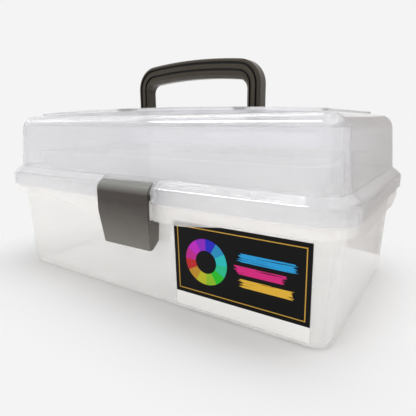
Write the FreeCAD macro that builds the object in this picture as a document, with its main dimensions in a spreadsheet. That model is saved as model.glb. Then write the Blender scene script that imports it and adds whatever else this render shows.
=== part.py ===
import FreeCAD, Part
import math
import os
import re
import Sketcher

# Carry box for art materials: a clear moulded tub and lid, a lift-out tray, a folding handle and a latch.
# X runs along the length, Y from the front (minus) to the hinge side (plus), Z up from the ground.

# Driving sizes in millimetres: alias, value, meaning
SIZES = [
    ("wall", 2.0, "general moulded wall"),
    ("fit_gap", 0.3, "gap between pieces that rest against each other"),
    ("side_gap", 0.6, "gap beside pieces that turn"),
    ("pin_play", 0.05, "radial play of a pin in its hole"),
    ("pin_bevel", 0.4, "bevel at the ends of a pin"),
    ("flange_length", 326.0, "lid flange, end to end"),
    ("flange_depth", 200.0, "lid flange, front to rear"),
    ("flange_corner", 27.0, "lid flange corner radius in plan"),
    ("parting_height", 82.0, "top of the tub rim deck"),
    ("skirt_height", 10.0, "upright edge of the lid flange"),
    ("skirt_wall", 3.2, "thickness of that edge"),
    ("skirt_round", 3.6, "rounding along the top of the flange edge"),
    ("shoulder_run", 7.4, "sloped shoulder, inward"),
    ("shoulder_rise", 6.6, "sloped shoulder, upward"),
    ("shoulder_ledge", 2.0, "flat step above the shoulder at front and rear"),
    ("dome_height", 45.2, "lid wall above the shoulder"),
    ("dome_inset", 4.2, "draft of the lid wall"),
    ("dome_round", 13.0, "rounding along the top of the lid"),
    ("panel_end_margin", 16.4, "raised panel from the lid's ends"),
    ("panel_side_margin", 14.0, "raised panel from the lid's front and rear"),
    ("panel_corner", 6.0, "raised panel corner radius"),
    ("panel_rise", 2.0, "height of the raised panel at its ends"),
    ("panel_crown", 2.8, "extra height of the raised panel at its middle"),
    ("tub_end_step", 7.8, "tub wall behind the lid flange at the ends"),
    ("tub_side_step", 10.4, "tub wall behind the lid flange at front and rear"),
    ("tub_inset", 3.2, "draft of the tub wall"),
    ("floor_top", 2.4, "inside floor of the tub"),
    ("foot_round", 3.5, "rounding along the bottom of the tub"),
    ("floor_bevel", 2.4, "bevel inside the tub along the floor"),
    ("rim_inset", 2.0, "tub rim behind the lid flange"),
    ("rim_drop", 8.0, "height of the tub rim"),
    ("deck", 2.2, "thickness of the rim deck"),
    ("apron_drop", 5.2, "how far the rim dips at the front and the ends"),
    ("apron_half", 52.0, "half length of the front dip"),
    ("apron_run", 40.0, "length over which the rim dips at the front"),
    ("end_apron_run", 20.0, "length over which the rim dips at the ends"),
    ("apron_round", 30.0, "rounding at each bend of a dip"),
    ("lip_height", 6.0, "upright lip inside the lid"),
    ("latch_width", 51.0, "latch plate"),
    ("latch_wall", 2.2, "latch plate thickness"),
    ("latch_proud", 3.0, "latch in front of the lid flange"),
    ("latch_radius", 8.0, "round top of the latch about its pin"),
    ("latch_tip", 3.0, "how far the round top reaches behind the pin"),
    ("latch_upright", 15.6, "straight upper part of the latch below the pin"),
    ("latch_foot", 41.5, "bottom of the latch below the pin"),
    ("latch_lean", 3.4, "how far the latch leans back at its bottom"),
    ("latch_bend", 40.0, "rounding where the latch starts to lean"),
    ("latch_taper", 2.0, "narrowing of each side at the bottom"),
    ("cheek_wall", 2.0, "side cheek of the latch"),
    ("cheek_top", 19.6, "top of the side cheeks below the pin"),
    ("cheek_cut", 6.0, "bevel at the lower rear of the cheeks"),
    ("latch_pin_rise", 5.5, "latch pin above the bottom of the lid flange"),
    ("latch_pin_radius", 1.5, "latch pin"),
    ("latch_rib", 4.0, "ribs that carry the latch on its pin"),
    ("nib_half", 17.0, "half length of the snap nib on the tub"),
    ("nib_reach", 2.2, "how far the snap nib stands out"),
    ("nib_drop", 26.8, "middle of the snap nib below the latch pin"),
    ("nib_size", 5.0, "height of the snap nib"),
    ("hinge_offset", 95.0, "middle of each hinge from the centre"),
    ("hinge_reach", 4.4, "hinge pin behind the lid flange"),
    ("hinge_radius", 4.0, "hinge knuckle"),
    ("hinge_pin_radius", 1.5, "hinge pin"),
    ("lid_knuckle", 16.0, "length of the lid knuckle"),
    ("tub_knuckle", 10.0, "length of each tub knuckle"),
    ("knuckle_gap", 0.5, "gap between knuckles"),
    ("handle_width", 130.0, "handle over its legs"),
    ("handle_section", 12.4, "leg thickness in the handle's own plane"),
    ("handle_depth", 12.4, "handle thickness front to rear"),
    ("grip_swell", 3.4, "how much thicker the grip is than the legs"),
    ("handle_edge", 1.4, "bevel along the handle's outer edges"),
    ("grip_bevel", 2.4, "bevel along the handle's inner edges"),
    ("groove_width", 1.8, "grip groove"),
    ("groove_cut", 1.3, "depth of a grip groove"),
    ("groove_pitch", 5.4, "spacing of the two grip grooves"),
    ("handle_rise", 42.1, "top of the handle above the raised panel"),
    ("handle_bend", 14.5, "bend radius of the handle's middle line"),
    ("handle_bow", 420.0, "radius of the slight bow along the grip"),
    ("handle_line", 3.5, "handle pivot in front of the middle"),
    ("handle_pin_radius", 2.0, "handle pin"),
    ("handle_pin_grip", 8.0, "length of a handle pin inside its leg"),
    ("recess_reach", 52.0, "handle recess behind the pivot"),
    ("recess_front", 9.0, "handle recess in front of the pivot"),
    ("recess_depth", 14.0, "handle recess below the raised panel"),
    ("recess_corner", 4.0, "handle recess corner radius"),
    ("boss_radius", 4.6, "boss behind each handle pin"),
    ("boss_length", 4.0, "length of that boss"),
    ("tray_end_gap", 12.2, "tray rim from the tub's outside at the ends"),
    ("tray_side_gap", 9.6, "tray rim from the tub's outside at front and rear"),
    ("tray_corner", 20.0, "tray rim corner radius"),
    ("tray_height", 38.7, "height of the tray"),
    ("tray_wall", 1.8, "tray wall"),
    ("tray_lip", 5.0, "width of the tray rim"),
    ("tray_skirt", 10.0, "downturned edge of the tray rim"),
    ("tray_inset", 3.0, "draft of the tray wall"),
    ("tray_bevel", 2.6, "bevel along the bottom of the tray"),
    ("divider", 1.6, "tray divider thickness"),
    ("divider_drop", 4.0, "top of the dividers below the tray rim"),
    ("long_divider", 14.0, "lengthwise divider behind the middle"),
    ("cross_pitch", 66.0, "spacing of the cross dividers"),
    ("ledge_drop", 9.0, "tray ledge below the rim deck"),
    ("ledge_reach", 26.0, "tray ledge from the tub wall"),
    ("ledge_half", 50.0, "half length of a tray ledge"),
    ("gusset_height", 18.0, "gussets under a tray ledge"),
    ("label_margin", 15.0, "right edge of the label from the tub's end"),
    ("label_length", 102.2, "label width"),
    ("label_bottom", 4.8, "bottom edge of the label"),
    ("label_height", 65.2, "label height"),
    ("label_sheet", 0.3, "label thickness"),
    ("label_gum", 0.02, "gum between the label and the tub"),
]

# Places and sizes that several pieces share, each written once in terms of the sheet
SHARED = {
    "skirt_bottom": "(parting_height + fit_gap)",
    "shoulder_bottom": "(skirt_bottom + skirt_height)",
    "dome_bottom": "(shoulder_bottom + shoulder_rise)",
    "dome_top": "(dome_bottom + dome_height)",
    "panel_edge": "(dome_top + panel_rise)",
    "panel_top": "(panel_edge + panel_crown)",
    "dome_length": "(flange_length - 2 * shoulder_run)",
    "dome_depth": "(flange_depth - 2 * shoulder_run - 2 * shoulder_ledge)",
    "dome_corner": "(flange_corner - shoulder_run - shoulder_ledge)",
    "shoulder_slant": "(sqrt(shoulder_run * shoulder_run + shoulder_rise * shoulder_rise))",
    "hollow_bottom": "(shoulder_bottom + (skirt_wall * shoulder_rise - wall * shoulder_slant) / shoulder_run)",
    "hollow_top": "(dome_bottom - wall)",
    "hollow_run": "((hollow_top - hollow_bottom) * shoulder_run / shoulder_rise)",
    "panel_length": "(dome_length - 2 * dome_inset - 2 * panel_end_margin)",
    "panel_depth": "(dome_depth - 2 * dome_inset - 2 * panel_side_margin)",
    "tub_length": "(flange_length - 2 * tub_end_step)",
    "tub_depth": "(flange_depth - 2 * tub_side_step)",
    "tub_corner": "(flange_corner - tub_side_step)",
    "rim_length": "(flange_length - 2 * rim_inset)",
    "rim_depth": "(flange_depth - 2 * rim_inset)",
    "rim_corner": "(flange_corner - rim_inset)",
    "rim_bottom": "(parting_height - rim_drop)",
    "end_apron_half": "(rim_depth / 2 - rim_corner - end_apron_run)",
    "bay_half": "(latch_width / 2 + side_gap)",
    "bay_back": "(latch_line - latch_radius - fit_gap)",
    "bay_top": "(latch_pin_height + latch_radius + side_gap)",
    "latch_pin_height": "(skirt_bottom + latch_pin_rise)",
    "latch_front": "(flange_depth / 2 + latch_proud)",
    "latch_line": "(latch_front - latch_radius)",
    "latch_bottom": "(latch_pin_height - latch_foot)",
    "nib_height": "(latch_pin_height - nib_drop)",
    "nib_face": "(tub_depth / 2 - tub_inset * (1 - nib_height / parting_height))",
    "cheek_rear": "(nib_face + 2 * side_gap)",
    "hinge_line": "(flange_depth / 2 + hinge_reach)",
    "hinge_height": "(parting_height)",
    "handle_top": "(panel_top + handle_rise)",
    "leg_line": "((handle_width - handle_section) / 2)",
    "recess_half": "(handle_width / 2 + side_gap)",
    "recess_floor": "(panel_top - recess_depth)",
    "recess_length": "(2 * recess_half)",
    "recess_width": "(recess_front + recess_reach)",
    "recess_middle": "((recess_reach - recess_front) / 2 - handle_line)",
    "pivot_height": "(recess_floor + fit_gap + handle_depth / 2)",
    "ledge_height": "(parting_height - ledge_drop)",
    "ledge_root": "(tub_length / 2 - wall / 2 - tub_inset * (ledge_drop + gusset_height) / parting_height)",
    "tray_length": "(tub_length - 2 * tray_end_gap)",
    "tray_depth": "(tub_depth - 2 * tray_side_gap)",
    "tray_floor": "(ledge_height + fit_gap)",
    "tray_top": "(tray_floor + tray_height)",
    "tray_foot_length": "(tray_length - 2 * tray_lip - 2 * tray_inset)",
    "tray_foot_depth": "(tray_depth - 2 * tray_lip - 2 * tray_inset)",
    "tray_foot_corner": "(tray_corner - tray_lip - tray_inset)",
    "divider_top": "(tray_top - divider_drop)",
    "hinge_start": "(hinge_offset - lid_knuckle / 2 - knuckle_gap - tub_knuckle)",
    "hinge_length": "(2 * tub_knuckle + 2 * knuckle_gap + lid_knuckle)",
    "label_left": "(tub_length / 2 - label_margin - label_length)",
}

doc = FreeCAD.newDocument("carry_box")
sheet = doc.addObject("Spreadsheet::Sheet", "Sizes")
for row, (alias, number, meaning) in enumerate(SIZES, start=1):
    sheet.set("A%d" % row, meaning)
    sheet.set("B%d" % row, str(number))
    sheet.setAlias("B%d" % row, alias)
doc.recompute()

ALIASES = {alias for alias, number, meaning in SIZES}
VECTOR = FreeCAD.Vector
FULL_TURN = 2 * math.pi
WORD = re.compile("[a-z_]+")
LEVEL_MATCH = 1e-4


def size(expression):
    """Write an expression in the sheet's own terms."""
    while any(word in SHARED for word in WORD.findall(expression)):
        expression = WORD.sub(lambda found: SHARED.get(found.group(), found.group()), expression)
    return WORD.sub(lambda found: "Sizes." * (found.group() in ALIASES) + found.group(), expression)


def present(expression):
    """The present value of an expression, for starting a sketch and for picking edges."""
    probe.setExpression("Value", size(expression))
    probe.recompute()
    return probe.Value


def bind(item, **sizes):
    """Tie properties of a document object to the sheet."""
    for name, expression in sizes.items():
        item.setExpression(name, size(expression))
    return item


def new_body(label):
    body = doc.addObject("PartDesign::Body", label)
    body.Label = label
    return body


def origin_plane(body, role):
    return next(item for item in body.Origin.OriginFeatures if item.Role == role)


def new_sketch(body, name, role, offset, shift="0"):
    """An empty sketch parallel to one of the body's own planes, moved up and, if asked, along its second axis."""
    sketch = body.newObject("Sketcher::SketchObject", name)
    sketch.AttachmentSupport = [(origin_plane(body, role), "")]
    sketch.MapMode = "FlatFace"
    sketch.setExpression("AttachmentOffset.Base.z", size(offset))
    sketch.setExpression("AttachmentOffset.Base.y", size(shift))
    return sketch


def constrain(sketch, expression, *constraint):
    """Add a dimension to a sketch and tie it to the sheet."""
    index = sketch.addConstraint(Sketcher.Constraint(*constraint, present(expression)))
    sketch.setExpression("Constraints[%d]" % index, size(expression))


def join(sketch, kind, first, second):
    """Join the end of one curve to the start of the next."""
    sketch.addConstraint(Sketcher.Constraint(kind, first, 2, second, 1))


def arc(centre, radius, start, end):
    round_line = Part.Circle(VECTOR(*centre, 0), VECTOR(0, 0, 1), radius)
    return Part.ArcOfCircle(round_line, start, end)


def add_rounded_rectangle(sketch, length, depth, corner):
    """Four sides and four tangent corner arcs about the sketch's origin."""
    a, b, r = present(length) / 2, present(depth) / 2, present(corner)
    first = sketch.GeometryCount
    starts = ((r - a, -b), (a, r - b), (a - r, b), (-a, b - r))
    ends = ((a - r, -b), (a, b - r), (r - a, b), (-a, r - b))
    centres = ((a - r, r - b), (a - r, b - r), (r - a, b - r), (r - a, r - b))
    for turn, (start, end, centre) in enumerate(zip(starts, ends, centres)):
        angle = (turn - 1) * FULL_TURN / 4
        sketch.addGeometry(Part.LineSegment(VECTOR(*start, 0), VECTOR(*end, 0)))
        sketch.addGeometry(arc(centre, r, angle, angle + FULL_TURN / 4))
    for n in range(8):
        join(sketch, "Tangent", first + n, first + (n + 1) % 8)
    for n, direction in ((0, "Horizontal"), (2, "Vertical"), (4, "Horizontal"), (6, "Vertical")):
        sketch.addConstraint(Sketcher.Constraint(direction, first + n))
    for n in (3, 5, 7):
        sketch.addConstraint(Sketcher.Constraint("Equal", first + 1, first + n))
    sketch.addConstraint(Sketcher.Constraint("Symmetric", first + 1, 3, first + 5, 3, -1, 1))
    constrain(sketch, length, "DistanceX", first + 6, 1, first + 2, 1)
    constrain(sketch, depth, "DistanceY", first, 1, first + 4, 1)
    constrain(sketch, corner, "Radius", first + 1)


def rounded_rectangle(body, name, offset, length, depth, corner, shift="0"):
    sketch = new_sketch(body, name, "XY_Plane", offset, shift)
    add_rounded_rectangle(sketch, length, depth, corner)
    return sketch


def rounded_frame(body, name, offset, length, depth, corner, border):
    """A rounded rectangle with a smaller one inside it."""
    sketch = rounded_rectangle(body, name, offset, length, depth, corner)
    inner = ["%s - 2 * (%s)" % (side, border) for side in (length, depth)]
    add_rounded_rectangle(sketch, *inner, "%s - (%s)" % (corner, border))
    return sketch


def polygon(body, name, role, offset, points):
    """A closed outline whose corners are given as pairs of expressions."""
    sketch = new_sketch(body, name, role, offset)
    spots = [VECTOR(present(across), present(up), 0) for across, up in points]
    count = len(points)
    for n in range(count):
        sketch.addGeometry(Part.LineSegment(spots[n], spots[(n + 1) % count]))
    for n, (across, up) in enumerate(points):
        join(sketch, "Coincident", n, (n + 1) % count)
        constrain(sketch, across, "DistanceX", -1, 1, n, 1)
        constrain(sketch, up, "DistanceY", -1, 1, n, 1)
    return sketch


def circle(body, name, role, offset, across, up, radius):
    sketch = new_sketch(body, name, role, offset)
    centre = VECTOR(present(across), present(up), 0)
    sketch.addGeometry(Part.Circle(centre, VECTOR(0, 0, 1), present(radius)))
    constrain(sketch, across, "DistanceX", -1, 1, 0, 3)
    constrain(sketch, up, "DistanceY", -1, 1, 0, 3)
    constrain(sketch, radius, "Radius", 0)
    return sketch


def extrude(body, kind, name, sketch, length, flare="0", symmetric=False):
    """A Pad or a Pocket along the sketch's normal, which may widen by a flare on every side."""
    feature = body.newObject("PartDesign::" + kind, name)
    feature.Profile = sketch
    feature.SideType = "Symmetric" if symmetric else "One side"
    feature.Reversed = kind == "Pocket"
    bind(feature, Length=length)
    if flare != "0":
        bind(feature, TaperAngle="atan((%s) / (%s))" % (flare, length))
    doc.recompute()
    return feature


def block(body, kind, name, low, high):
    """An added or removed box between two corners."""
    feature = body.newObject("PartDesign::" + kind + "Box", name)
    for axis, side, start, end in zip("xyz", ("Length", "Width", "Height"), low, high):
        feature.setExpression("Placement.Base." + axis, size(start))
        feature.setExpression(side, size("(%s) - (%s)" % (end, start)))
    doc.recompute()
    return feature


def round_edges(body, name, radius, chosen, kind="Fillet"):
    """Round or bevel the edges of the body's last feature that a test picks."""
    base = body.Tip
    edges = ["Edge%d" % n for n, edge in enumerate(base.Shape.Edges, start=1) if chosen(edge)]
    feature = body.newObject("PartDesign::" + kind, name)
    feature.Base = (base, edges)
    feature.setExpression("Radius" if kind == "Fillet" else "Size", size(radius))
    doc.recompute()
    return feature


def mirrored(body, name, features):
    """The same features on the other end of the box."""
    feature = body.newObject("PartDesign::Mirrored", name)
    feature.Originals = features
    feature.MirrorPlane = (origin_plane(body, "YZ_Plane"), [""])
    body.Tip = feature
    doc.recompute()
    return feature


def level(height):
    """A test for edges that lie flat at one height."""
    target = present(height)

    def chosen(edge):
        box = edge.BoundBox
        return abs(box.ZMin - target) < LEVEL_MATCH and abs(box.ZMax - target) < LEVEL_MATCH

    return chosen


def outer_level(height):
    """The same test, kept to the outside of the lid flange."""
    at_height, reach, half = level(height), present("flange_corner"), present("flange_depth / 2")

    def chosen(edge):
        box = edge.BoundBox
        return at_height(edge) and max(abs(box.YMin), abs(box.YMax)) > half - reach

    return chosen


def along_x(across, up):
    """A test for edges that run along X through one point of the side view."""
    target_y, target_z = present(across), present(up)

    def chosen(edge):
        box = edge.BoundBox
        flat = box.YLength + box.ZLength < LEVEL_MATCH
        return flat and abs(box.YMin - target_y) < LEVEL_MATCH and abs(box.ZMin - target_z) < LEVEL_MATCH

    return chosen


def bore(body, name, start, length, across, up, radius):
    """A straight hole along X."""
    outline = circle(body, name + "_outline", "YZ_Plane", start, across, up, radius + " + pin_play")
    return extrude(body, "Pocket", name, outline, length)


def make_knuckle(body, name, start, length, root, low, high):
    """One hinge knuckle: an arm out from its wall, and a barrel about the hinge line."""
    arm = polygon(body, name + "_arm_outline", "YZ_Plane", start,
                  [(root, low), ("hinge_line", low), ("hinge_line", high), (root, high)])
    barrel = circle(body, name + "_barrel_outline", "YZ_Plane", start, "hinge_line", "hinge_height", "hinge_radius")
    return [extrude(body, "Pad", name + "_arm", arm, length),
            extrude(body, "Pad", name + "_barrel", barrel, length)]


# Tub
def make_tub():
    body = new_body("base_tub")
    foot_length = "tub_length - 2 * tub_inset"
    foot_depth = "tub_depth - 2 * tub_inset"
    foot_corner = "tub_corner - tub_inset"
    foot = rounded_rectangle(body, "tub_foot", "0", foot_length, foot_depth, foot_corner)
    extrude(body, "Pad", "tub_block", foot, "parting_height", flare="tub_inset")
    round_edges(body, "tub_foot_round", "foot_round", level("0"))
    make_rim(body)

    floor = rounded_rectangle(body, "floor_outline", "floor_top", foot_length + " - 2 * wall",
                              foot_depth + " - 2 * wall", foot_corner + " - wall")
    extrude(body, "Pocket", "cavity", floor, "parting_height - floor_top", flare="tub_inset")
    round_edges(body, "inner_floor_bevel", "floor_bevel", level("floor_top"), "Chamfer")
    make_latch_seat(body)
    make_ledges(body)

    root = "rim_depth / 2 - wall / 2"
    low = "hinge_height - hinge_radius"
    high = "hinge_height - fit_gap"
    far = "hinge_start + tub_knuckle + lid_knuckle + 2 * knuckle_gap"
    hinge = make_knuckle(body, "near_knuckle", "hinge_start", "tub_knuckle", root, low, high)
    hinge += make_knuckle(body, "far_knuckle", far, "tub_knuckle", root, low, high)
    hinge.append(bore(body, "hinge_bore", "hinge_start", "hinge_length", "hinge_line", "hinge_height",
                      "hinge_pin_radius"))
    mirrored(body, "other_hinge", hinge)


def make_rim(body):
    """The deck round the mouth, its turned-down edge with its dips, and the lip inside the lid."""
    outline = ("rim_length", "rim_depth", "rim_corner")
    deck = rounded_rectangle(body, "deck_outline", "parting_height - deck", *outline)
    extrude(body, "Pad", "rim_deck", deck, "deck")
    edge = rounded_frame(body, "rim_outline", "rim_bottom", *outline, "wall")
    extrude(body, "Pad", "rim_edge", edge, "rim_drop")
    make_aprons(body)
    lip = rounded_frame(body, "lip_outline", "parting_height - deck", "tub_length", "tub_depth", "tub_corner",
                        "wall")
    extrude(body, "Pad", "lip", lip, "lip_height + deck")


def make_aprons(body):
    """The dips of the rim's turned-down edge: one at the front and one at each end."""
    dip = "rim_bottom - apron_drop"
    roof = "parting_height - deck"
    bends = []
    for name, role, place, half, run in (
            ("front", "XZ_Plane", "rim_depth / 2 - wall", "apron_half", "apron_run"),
            ("end", "YZ_Plane", "rim_length / 2 - wall", "end_apron_half", "end_apron_run")):
        far = "(%s + %s)" % (half, run)
        outline = polygon(body, name + "_apron_outline", role, place, [
            ("-" + far, roof),
            ("-" + far, "rim_bottom"),
            ("-" + half, dip),
            (half, dip),
            (far, "rim_bottom"),
            (far, roof),
        ])
        apron = extrude(body, "Pad", name + "_apron", outline, "wall")
        bends += [(present(half), present(dip)), (present(far), present("rim_bottom"))]
    mirrored(body, "other_end_apron", [apron])

    def bend(edge):
        box = edge.BoundBox
        across = box.XMin if box.XLength < LEVEL_MATCH else box.YMin
        straight = min(box.XLength, box.YLength) + box.ZLength < LEVEL_MATCH
        return straight and any(
            abs(abs(across) - place) + abs(box.ZMin - height) < LEVEL_MATCH for place, height in bends)

    round_edges(body, "apron_bends", "apron_round", bend)


def make_latch_seat(body):
    """The slot in the rim that the latch hangs in, and the nib that it snaps over."""
    above = "parting_height + lip_height + wall"
    block(body, "Subtractive", "latch_slot",
          ("-bay_half", "-flange_depth / 2", "rim_bottom - apron_drop - wall"),
          ("bay_half", "-tub_depth / 2 + fit_gap / 2", above))
    block(body, "Subtractive", "lip_gap",
          ("-bay_half - 2 * wall", "-tub_depth / 2 - wall", "parting_height"),
          ("bay_half + 2 * wall", "-tub_depth / 2 + 3 * wall", above))
    root = "-nib_face + wall / 2"
    tip = "-nib_face - nib_reach"
    nib = polygon(body, "nib_outline", "YZ_Plane", "0", [
        (root, "nib_height - nib_size / 2"),
        (root, "nib_height + nib_size / 2"),
        ("-nib_face", "nib_height + nib_size / 2"),
        (tip, "nib_height + nib_size / 8"),
        (tip, "nib_height - nib_size / 8"),
        ("-nib_face", "nib_height - nib_size / 2"),
    ])
    extrude(body, "Pad", "latch_nib", nib, "2 * nib_half", symmetric=True)


def make_ledges(body):
    """A shelf with gussets on each end wall, which the tray stands on."""
    outer = "ledge_root"
    inner = "ledge_root - ledge_reach"
    features = [block(body, "Additive", "ledge", (inner, "-ledge_half", "ledge_height - wall"),
                      (outer, "ledge_half", "ledge_height"))]
    for name, place in (("front", "ledge_half - wall / 2"), ("middle", "0"), ("rear", "wall / 2 - ledge_half")):
        gusset = polygon(body, "gusset_outline_" + name, "XZ_Plane", place, [
            (outer, "ledge_height - wall / 2"),
            (inner, "ledge_height - wall / 2"),
            (inner, "ledge_height - wall"),
            (outer, "ledge_height - gusset_height"),
        ])
        features.append(extrude(body, "Pad", "gusset_" + name, gusset, "wall", symmetric=True))
    mirrored(body, "far_ledge", features)


# Lid
def make_lid():
    body = new_body("lid")
    flange = ("flange_length", "flange_depth", "flange_corner")
    skirt = rounded_rectangle(body, "skirt_outline", "skirt_bottom", *flange)
    extrude(body, "Pad", "skirt", skirt, "skirt_height")
    shoulder = rounded_rectangle(body, "shoulder_outline", "shoulder_bottom", *flange)
    extrude(body, "Pad", "shoulder", shoulder, "shoulder_rise", flare="-shoulder_run")
    dome = rounded_rectangle(body, "dome_outline", "dome_bottom", "dome_length", "dome_depth", "dome_corner")
    extrude(body, "Pad", "dome", dome, "dome_height", flare="-dome_inset")
    make_hollow(body)
    round_edges(body, "dome_edge", "dome_round", level("dome_top"))
    round_edges(body, "skirt_edge", "skirt_round", outer_level("shoulder_bottom"))
    make_panel(body)
    make_latch_bay(body)
    make_handle_recess(body)
    make_lid_knuckles(body)


def bowed(body, name, half, ends, middle, base):
    """An outline between a bow and a straight base, seen from the front."""
    sketch = new_sketch(body, name, "XZ_Plane", "0")
    rise = "((%s) - (%s))" % (middle, ends)
    radius = "((%s) * (%s) + %s * %s) / (2 * %s)" % (half, half, rise, rise, rise)
    reach, end, top, flat, bow = (present(item) for item in (half, ends, middle, base, radius))
    lean = math.acos(reach / bow)
    sketch.addGeometry(arc((0, top - bow), bow, lean, math.pi - lean))
    corners = [VECTOR(-reach, end, 0), VECTOR(-reach, flat, 0), VECTOR(reach, flat, 0), VECTOR(reach, end, 0)]
    for n in range(3):
        sketch.addGeometry(Part.LineSegment(corners[n], corners[n + 1]))
    for n in range(4):
        join(sketch, "Coincident", n, (n + 1) % 4)
    for line, spot, across, up in ((1, 1, "-(%s)" % half, ends), (2, 1, "-(%s)" % half, base),
                                   (3, 1, half, base), (3, 2, half, ends)):
        constrain(sketch, across, "DistanceX", -1, 1, line, spot)
        constrain(sketch, up, "DistanceY", -1, 1, line, spot)
    constrain(sketch, radius, "Radius", 0)
    return sketch


def make_hollow(body):
    """Hollow the flange, the shoulder and the dome to an even wall."""
    rim = ("flange_length - 2 * skirt_wall", "flange_depth - 2 * skirt_wall", "flange_corner - skirt_wall")
    neck = ("dome_length - 2 * wall", "dome_depth - 2 * wall", "dome_corner - wall")
    skirt = rounded_rectangle(body, "skirt_hollow_outline", "skirt_bottom", *rim)
    extrude(body, "Pocket", "skirt_hollow", skirt, "hollow_bottom - skirt_bottom")
    shoulder = rounded_rectangle(body, "shoulder_hollow_outline", "hollow_bottom", *rim)
    extrude(body, "Pocket", "shoulder_hollow", shoulder, "hollow_top - hollow_bottom", flare="-hollow_run")
    dome = rounded_rectangle(body, "dome_hollow_outline", "hollow_top", *neck)
    extrude(body, "Pocket", "dome_hollow", dome, "dome_height", flare="-dome_inset")
    round_edges(body, "dome_hollow_edge", "(dome_round - wall) * 2 / 3", level("dome_top - wall"), "Chamfer")


def make_panel(body):
    """The raised panel, bowed along its length and hollowed to the same wall."""
    panel = rounded_rectangle(body, "panel_outline", "dome_top - wall", "panel_length", "panel_depth",
                              "panel_corner")
    extrude(body, "Pad", "panel", panel, "wall + panel_rise + panel_crown")
    above = bowed(body, "panel_bow_outline", "panel_length / 2", "panel_edge", "panel_top", "panel_top + wall")
    extrude(body, "Pocket", "panel_bow", above, "flange_depth", symmetric=True)
    hollow = bowed(body, "panel_hollow_outline", "panel_length / 2 - wall", "panel_edge - wall",
                   "panel_top - wall", "dome_top - 2 * wall")
    extrude(body, "Pocket", "panel_hollow", hollow, "panel_depth - 2 * wall", symmetric=True)
    half_length, half_depth = present("panel_length / 2 - wall"), present("panel_depth / 2 - wall")

    def corner(edge):
        box = edge.BoundBox
        upright = box.XLength + box.YLength < LEVEL_MATCH
        return upright and abs(abs(box.XMin) - half_length) + abs(abs(box.YMin) - half_depth) < LEVEL_MATCH

    round_edges(body, "panel_hollow_corners", "panel_corner - wall", corner)


def make_latch_bay(body):
    """The bay in the flange where the latch hangs, walled at its back and sides and open above the latch."""
    front = "-flange_depth / 2 + skirt_wall / 2"
    back = "-bay_back + wall"
    top = "bay_top + wall"
    fill = polygon(body, "bay_wall_outline", "YZ_Plane", "0", [
        (front, "skirt_bottom"),
        (front, "shoulder_bottom"),
        ("-dome_depth / 2 + wall / 2", top),
        (back, top),
        (back, "skirt_bottom"),
    ])
    extrude(body, "Pad", "bay_wall", fill, "2 * bay_half + 2 * wall", symmetric=True)
    low = ("-bay_half", "-flange_depth / 2 - wall", "skirt_bottom - wall")
    block(body, "Subtractive", "bay", low, ("bay_half", "-bay_back", "bay_top"))
    block(body, "Subtractive", "bay_mouth", low,
          ("bay_half", "shoulder_run - flange_depth / 2", "dome_bottom + wall"))
    bore(body, "latch_bore", "-bay_half - wall", "2 * bay_half + 2 * wall", "-latch_line", "latch_pin_height",
         "latch_pin_radius")


def make_handle_recess(body):
    """The recess that the folded handle lies in, with a boss behind each handle pin."""
    shell = rounded_rectangle(body, "recess_wall_outline", "recess_floor - wall", "recess_length + 2 * wall",
                              "recess_width + 2 * wall", "recess_corner + wall", "recess_middle")
    extrude(body, "Pad", "recess_wall", shell, "recess_depth + wall / 2")
    hollow = rounded_rectangle(body, "recess_outline", "recess_floor", "recess_length", "recess_width",
                               "recess_corner", "recess_middle")
    extrude(body, "Pocket", "recess", hollow, "recess_depth + wall")
    boss = circle(body, "boss_outline", "YZ_Plane", "recess_half + wall / 2", "-handle_line", "pivot_height",
                  "boss_radius")
    pair = [extrude(body, "Pad", "boss", boss, "boss_length + wall / 2"),
            bore(body, "handle_bore", "recess_half - wall", "boss_length + 3 * wall", "-handle_line", "pivot_height",
                 "handle_pin_radius")]
    mirrored(body, "other_boss", pair)


def make_lid_knuckles(body):
    start = "hinge_offset - lid_knuckle / 2"
    hinge = make_knuckle(body, "knuckle", start, "lid_knuckle", "flange_depth / 2 - skirt_wall / 2",
                         "hinge_height + fit_gap", "hinge_height + hinge_radius")
    hinge.append(bore(body, "knuckle_bore", start, "lid_knuckle", "hinge_line", "hinge_height", "hinge_pin_radius"))
    mirrored(body, "other_knuckle", hinge)


# Tray
def make_tray():
    body = new_body("lift_out_tray")
    foot = rounded_rectangle(body, "tray_foot", "tray_floor", "tray_foot_length", "tray_foot_depth",
                             "tray_foot_corner")
    extrude(body, "Pad", "tray_block", foot, "tray_height", flare="tray_inset")
    round_edges(body, "tray_foot_bevel", "tray_bevel", level("tray_floor"), "Chamfer")
    rim = rounded_rectangle(body, "tray_rim_outline", "tray_top - tray_wall", "tray_length", "tray_depth",
                            "tray_corner")
    extrude(body, "Pad", "tray_rim", rim, "tray_wall")
    edge = rounded_frame(body, "tray_edge_outline", "tray_top - tray_skirt", "tray_length", "tray_depth",
                         "tray_corner", "tray_wall")
    extrude(body, "Pad", "tray_edge", edge, "tray_skirt")
    hollow = rounded_rectangle(body, "tray_hollow_outline", "tray_floor + tray_wall",
                               "tray_foot_length - 2 * tray_wall", "tray_foot_depth - 2 * tray_wall",
                               "tray_foot_corner - tray_wall")
    extrude(body, "Pocket", "tray_hollow", hollow, "tray_height - tray_wall", flare="tray_inset")
    round_edges(body, "tray_floor_bevel", "tray_bevel - tray_wall / 2", level("tray_floor + tray_wall"), "Chamfer")
    make_dividers(body)


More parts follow.
